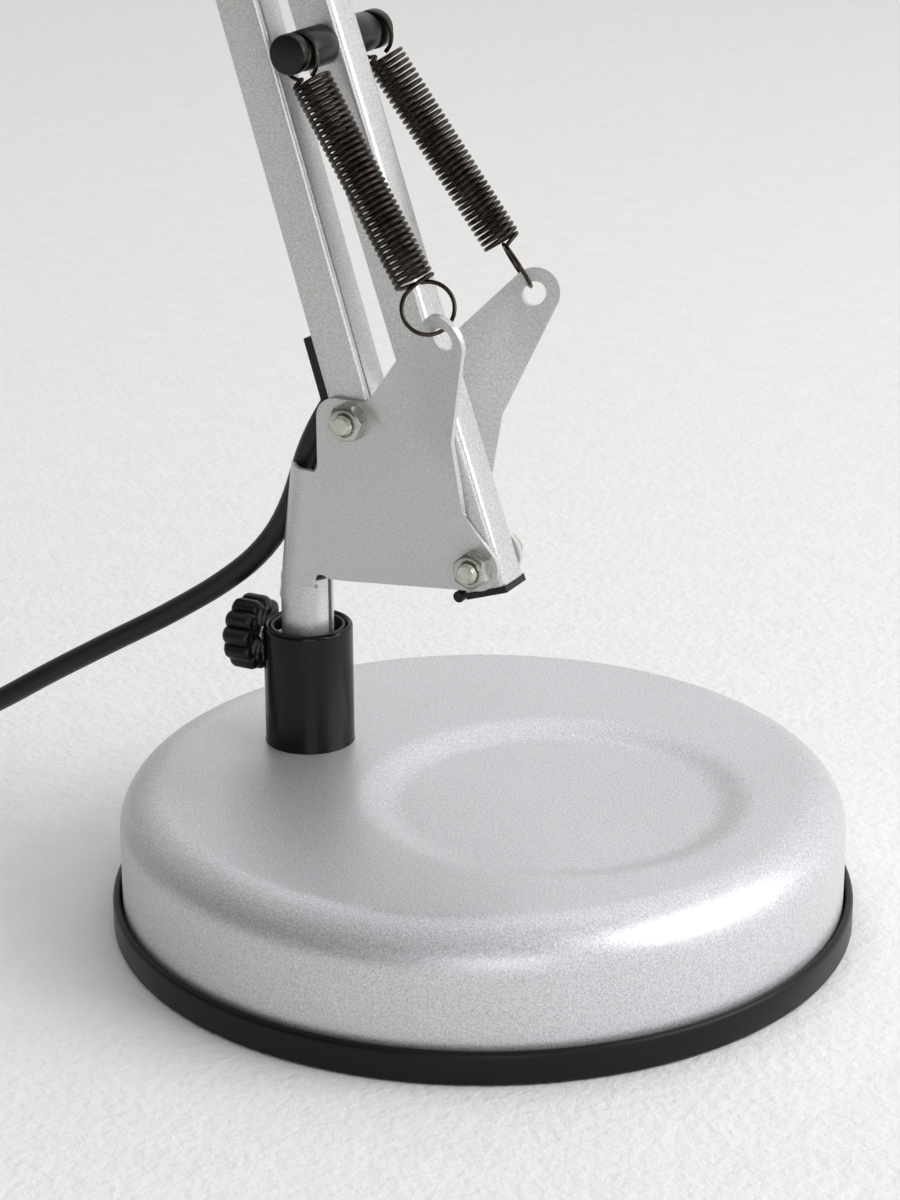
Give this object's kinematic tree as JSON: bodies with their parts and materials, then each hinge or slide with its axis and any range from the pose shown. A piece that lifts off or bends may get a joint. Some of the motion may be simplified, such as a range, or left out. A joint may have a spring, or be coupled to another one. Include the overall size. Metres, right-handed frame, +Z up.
{
  "type": "architect desk lamp",
  "caption": "Architect desk lamp with a weighted round base, swivelling bracket, two sprung parallel arms, a tilting bell shade and a mains cord.",
  "frame": {"origin": "centre of the underside of the round base, on the table", "axes": "+Z up, +X forward along the arms towards the shade, +Y to the lamp's left"},
  "size_m": [0.6138, 0.18, 0.5783],
  "materials": {
    "black_lip": "satin moulded",
    "black_pin": "satin moulded",
    "black_plastic": "satin moulded",
    "black_tube": "semi-gloss black",
    "bracket_paint": "fine metallic powder coat, satin",
    "bulb": "opal",
    "cast_weight": "rough cast",
    "cord": "satin",
    "holder": "glazed",
    "pad": "matt",
    "shade_paint": "metallic outside, white inside",
    "silver_bars": "fine metallic powder coat, satin",
    "silver_paint": "fine metallic powder coat, satin",
    "spring_wire": "black oxide, oiled",
    "tie": "satin",
    "zinc": "bright zinc"
  },
  "bodies": {
    "base": {"base_ring": "black_lip", "base_cover": "silver_paint", "base_weight": "cast_weight", "base_plate": "black_tube", "base_screws": "zinc", "base_pads": "pad", "socket_tube": "black_tube", "socket_bush": "black_plastic", "socket_bolt": "zinc", "socket_nut": "zinc", "knob_insert": "zinc", "mains_cord": "cord", "mains_coil": "cord", "coil_tie": "tie", "mains_plug": "black_plastic", "plug_pins": "zinc"},
    "clamp_knob": {"clamp_knob": "black_plastic", "clamp_screw": "zinc"},
    "swivel": {"lower_bracket": "bracket_paint", "bracket_bolts": "zinc", "bracket_nuts": "zinc", "bracket_cord": "cord"},
    "rear_bar": {"lower_rear_bar": "silver_bars", "rear_bar_guide": "black_plastic", "lower_cord_run": "cord"},
    "front_bar": {"lower_front_bar": "silver_bars", "front_bar_clip": "black_plastic", "lower_anchor_pin": "black_pin"},
    "lower_spring_top": {"lower_spring_coils": "spring_wire"},
    "lower_spring_foot": {"lower_spring_hooks": "spring_wire"},
    "elbow": {"elbow_plate_near": "bracket_paint", "elbow_plate_far": "bracket_paint", "elbow_bolts": "zinc", "elbow_nuts": "zinc", "elbow_spring_studs": "black_pin", "elbow_cord_clip": "black_plastic", "elbow_cord_rear": "cord", "elbow_cord_front": "cord"},
    "top_bar": {"upper_top_bar": "silver_bars", "upper_cord_run": "cord"},
    "bottom_bar": {"upper_bottom_bar": "silver_bars", "upper_anchor_pin": "black_pin", "bottom_bar_clips": "black_plastic"},
    "upper_spring_top": {"upper_spring_coils": "spring_wire"},
    "upper_spring_foot": {"upper_spring_hooks": "spring_wire"},
    "head_bracket": {"head_bracket_near": "bracket_paint", "head_bracket_far": "bracket_paint", "head_bolts": "zinc", "head_nuts": "zinc", "head_cord_clip": "black_plastic", "head_cord_rear": "cord", "head_cord_front": "cord"},
    "tilt_knob": {"tilt_knob": "black_plastic"},
    "head_stem": {"head_stem": "black_plastic"},
    "head": {"lamp_housing": "black_plastic", "shade": "shade_paint", "shade_ring": "black_plastic", "lamp_holder": "holder", "bulb": "bulb"},
    "switch": {"switch_button": "black_plastic"}
  },
  "joints": [
    {"name": "base_swivel", "type": "hinge", "parent": "base", "child": "swivel", "pos_m": [-0.048, 0, 0.05], "axis": [0, 0, 1], "range_deg": [-80, 80], "deforming": ["mains_cord"]},
    {"name": "clamp_knob_turn", "type": "hinge", "parent": "base", "child": "clamp_knob", "pos_m": [-0.06, 0, 0.061], "axis": [-1, 0, 0], "range_deg": [-180, 180]},
    {"name": "lower_arm", "type": "hinge", "parent": "swivel", "child": "rear_bar", "pos_m": [-0.0312, 0, 0.1215], "axis": [0, 1, 0], "range_deg": [-4, 40], "deforming": ["bracket_cord"]},
    {"name": "lower_front_bar_turn", "type": "hinge", "parent": "swivel", "child": "front_bar", "pos_m": [0.0015, 0, 0.0902], "axis": [0, 1, 0], "range_deg": [-5.5, 41.5]},
    {"name": "elbow_turn", "type": "hinge", "parent": "rear_bar", "child": "elbow", "pos_m": [-0.12529, 0, 0.42735], "axis": [0, 1, 0], "range_deg": [-49, 6.5], "deforming": ["elbow_cord_rear"]},
    {"name": "lower_spring_top_turn", "type": "hinge", "parent": "front_bar", "child": "lower_spring_top", "pos_m": [-0.03816, 0, 0.20874], "axis": [0, 1, 0], "range_deg": [-4.5, 34], "deforming": ["lower_spring_coils"]},
    {"name": "lower_spring_foot_turn", "type": "hinge", "parent": "swivel", "child": "lower_spring_foot", "pos_m": [0.00208, 0, 0.14939], "axis": [0, 1, 0], "range_deg": [-9.5, 75], "deforming": ["lower_spring_hooks"]},
    {"name": "upper_arm", "type": "hinge", "parent": "elbow", "child": "top_bar", "pos_m": [-0.09012, 0, 0.44336], "axis": [0, -1, 0], "range_deg": [-40, 20], "deforming": ["elbow_cord_front"]},
    {"name": "upper_bottom_bar_turn", "type": "hinge", "parent": "elbow", "child": "bottom_bar", "pos_m": [-0.08404, 0, 0.42066], "axis": [0, -1, 0], "range_deg": [-40.5, 20.5]},
    {"name": "head_bracket_turn", "type": "hinge", "parent": "top_bar", "child": "head_bracket", "pos_m": [0.16365, 0, 0.5617], "axis": [0, -1, 0], "range_deg": [-20.5, 40.5], "deforming": ["head_cord_rear"]},
    {"name": "upper_spring_top_turn", "type": "hinge", "parent": "bottom_bar", "child": "upper_spring_top", "pos_m": [0.02019, 0, 0.46926], "axis": [0, -1, 0], "range_deg": [-4, 2.5], "deforming": ["upper_spring_coils"]},
    {"name": "upper_spring_foot_turn", "type": "hinge", "parent": "elbow", "child": "upper_spring_foot", "pos_m": [-0.07774, 0, 0.45616], "axis": [0, -1, 0], "range_deg": [-44, 23], "deforming": ["upper_spring_hooks"]},
    {"name": "head_tilt", "type": "hinge", "parent": "head_bracket", "child": "head_stem", "pos_m": [0.19973, 0, 0.557], "axis": [0, -1, 0], "range_deg": [-10, 60], "deforming": ["head_cord_front"]},
    {"name": "tilt_knob_turn", "type": "hinge", "parent": "head_bracket", "child": "tilt_knob", "pos_m": [0.19973, -0.012, 0.557], "axis": [0, -1, 0], "range_deg": [-180, 180]},
    {"name": "head_swivel", "type": "hinge", "parent": "head_stem", "child": "head", "pos_m": [0.20459, 0, 0.52942], "axis": [0.1736, 0, -0.9848], "range_deg": [-90, 90]},
    {"name": "switch_press", "type": "slide", "parent": "head", "child": "switch", "axis": [0.1736, 0, -0.9848], "range_m": [0, 0.002], "stiffness_N_per_m": 400, "springref_m": -0.001}
  ],
  "couplings": [
    {"joint": "lower_front_bar_turn", "follows": "lower_arm", "ratio": 1.0228},
    {"joint": "elbow_turn", "follows": "lower_arm", "ratio": -1.2137},
    {"joint": "lower_spring_foot_turn", "follows": "lower_arm", "ratio": 1.85},
    {"joint": "lower_spring_top_turn", "follows": "lower_arm", "ratio": 0.8272},
    {"joint": "upper_bottom_bar_turn", "follows": "upper_arm", "ratio": 1},
    {"joint": "head_bracket_turn", "follows": "upper_arm", "ratio": -1},
    {"joint": "upper_spring_foot_turn", "follows": "upper_arm", "ratio": 1.0555},
    {"joint": "upper_spring_top_turn", "follows": "upper_arm", "ratio": 0.0555}
  ]
}
